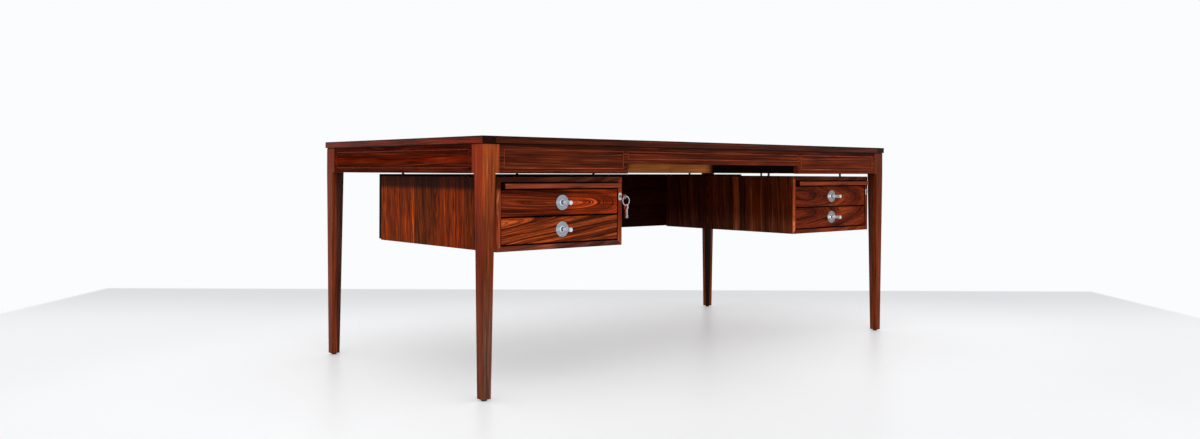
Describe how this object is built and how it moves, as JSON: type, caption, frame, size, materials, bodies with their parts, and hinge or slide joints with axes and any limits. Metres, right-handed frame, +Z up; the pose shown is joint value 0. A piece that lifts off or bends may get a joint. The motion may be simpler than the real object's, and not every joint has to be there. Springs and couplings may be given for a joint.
{
  "type": "executive desk",
  "caption": "Long wooden executive desk: slab top on tapered legs, hanging drawer cases with pull-out writing slides, lock and keys, and a modesty panel.",
  "frame": {"origin": "on the floor under the middle of the desk, at the bottom centre of its box", "axes": "+X along the desk, -Y towards the user, where the drawers open, +Z up"},
  "size_m": [1.92, 0.96, 0.725],
  "materials": {
    "top_veneer": "satin oiled rosewood veneer, long grain along the desk",
    "edge_strip": "satin oiled solid rosewood, grain along the strip",
    "leg_wood": "satin oiled solid rosewood, grain along the leg",
    "rail_wood": "satin oiled rosewood veneer, grain along the rail",
    "bead_wood": "satin oiled solid rosewood moulding",
    "case_wood": "satin oiled rosewood veneer, grain upright on the sides",
    "front_wood": "satin oiled rosewood veneer with swirling figure",
    "slide_wood": "satin oiled rosewood",
    "back_panel_wood": "satin oiled rosewood veneer, grain along the panel",
    "secondary_wood": "plain tan hardwood, waxed",
    "drawer_box_wood": "plain pale hardwood, waxed",
    "pull_metal": "satin nickel",
    "lock_metal": "satin nickel",
    "key_metal": "polished nickel",
    "pin_metal": "black oiled steel",
    "screw_metal": "zinc plated",
    "glide_plastic": "matte"
  },
  "bodies": {
    "desk": {"top_panel": "top_veneer", "top_lipping_left": "edge_strip", "top_lipping_right": "edge_strip", "top_lipping_front": "edge_strip", "top_lipping_back": "edge_strip", "apron_front": "rail_wood", "apron_back": "rail_wood", "apron_left": "rail_wood", "apron_right": "rail_wood", "apron_beads": "bead_wood", "floor_glides": "glide_plastic", "top_screws": "screw_metal", "hanger_pins": "pin_metal", "modesty_panel": "back_panel_wood", "lock_escutcheons": "lock_metal", "leg_front_left": "leg_wood", "leg_front_right": "leg_wood", "leg_back_left": "leg_wood", "leg_back_right": "leg_wood", "bearer_left_outer": "secondary_wood", "left_case_outer_side": "case_wood", "bearer_left_inner": "secondary_wood", "left_case_inner_side": "case_wood", "left_case_top": "case_wood", "left_case_bottom": "case_wood", "left_case_runners": "secondary_wood", "bearer_right_outer": "secondary_wood", "right_case_outer_side": "case_wood", "bearer_right_inner": "secondary_wood", "right_case_inner_side": "case_wood", "right_case_top": "case_wood", "right_case_bottom": "case_wood", "right_case_runners": "secondary_wood"},
    "left_upper_drawer": {"left_upper_drawer_front": "front_wood", "left_upper_drawer_sides": "drawer_box_wood", "left_upper_drawer_back": "drawer_box_wood", "left_upper_drawer_bottom": "drawer_box_wood", "left_upper_drawer_pull": "pull_metal"},
    "left_lower_drawer": {"left_lower_drawer_front": "front_wood", "left_lower_drawer_sides": "drawer_box_wood", "left_lower_drawer_back": "drawer_box_wood", "left_lower_drawer_bottom": "drawer_box_wood", "left_lower_drawer_pull": "pull_metal"},
    "left_writing_slide": {"left_writing_slide": "slide_wood"},
    "right_upper_drawer": {"right_upper_drawer_front": "front_wood", "right_upper_drawer_sides": "drawer_box_wood", "right_upper_drawer_back": "drawer_box_wood", "right_upper_drawer_bottom": "drawer_box_wood", "right_upper_drawer_pull": "pull_metal"},
    "right_lower_drawer": {"right_lower_drawer_front": "front_wood", "right_lower_drawer_sides": "drawer_box_wood", "right_lower_drawer_back": "drawer_box_wood", "right_lower_drawer_bottom": "drawer_box_wood", "right_lower_drawer_pull": "pull_metal"},
    "right_writing_slide": {"right_writing_slide": "slide_wood"},
    "left_key": {"left_lock_plug": "lock_metal", "lock_key": "key_metal"},
    "right_lock": {"right_lock_plug": "lock_metal"},
    "hanging_keys": {"key_ring": "key_metal", "spare_keys": "key_metal"}
  },
  "joints": [
    {"name": "left_upper_drawer_slide", "type": "slide", "parent": "desk", "child": "left_upper_drawer", "axis": [0, -1, 0], "range_m": [0, 0.42]},
    {"name": "left_lower_drawer_slide", "type": "slide", "parent": "desk", "child": "left_lower_drawer", "axis": [0, -1, 0], "range_m": [0, 0.42]},
    {"name": "left_writing_slide_slide", "type": "slide", "parent": "desk", "child": "left_writing_slide", "axis": [0, -1, 0], "range_m": [0, 0.3]},
    {"name": "right_upper_drawer_slide", "type": "slide", "parent": "desk", "child": "right_upper_drawer", "axis": [0, -1, 0], "range_m": [0, 0.42]},
    {"name": "right_lower_drawer_slide", "type": "slide", "parent": "desk", "child": "right_lower_drawer", "axis": [0, -1, 0], "range_m": [0, 0.42]},
    {"name": "right_writing_slide_slide", "type": "slide", "parent": "desk", "child": "right_writing_slide", "axis": [0, -1, 0], "range_m": [0, 0.3]},
    {"name": "left_key_turn", "type": "hinge", "parent": "desk", "child": "left_key", "pos_m": [-0.43, -0.444, 0.5516], "axis": [0, -1, 0], "range_deg": [0, 90]},
    {"name": "right_lock_turn", "type": "hinge", "parent": "desk", "child": "right_lock", "pos_m": [0.884, -0.444, 0.5516], "axis": [0, -1, 0], "range_deg": [0, 90]},
    {"name": "key_ring_swing", "type": "hinge", "parent": "left_key", "child": "hanging_keys", "pos_m": [-0.43, -0.4658, 0.5516], "axis": [-1, 0, 0], "range_deg": [-8, 60]}
  ]
}
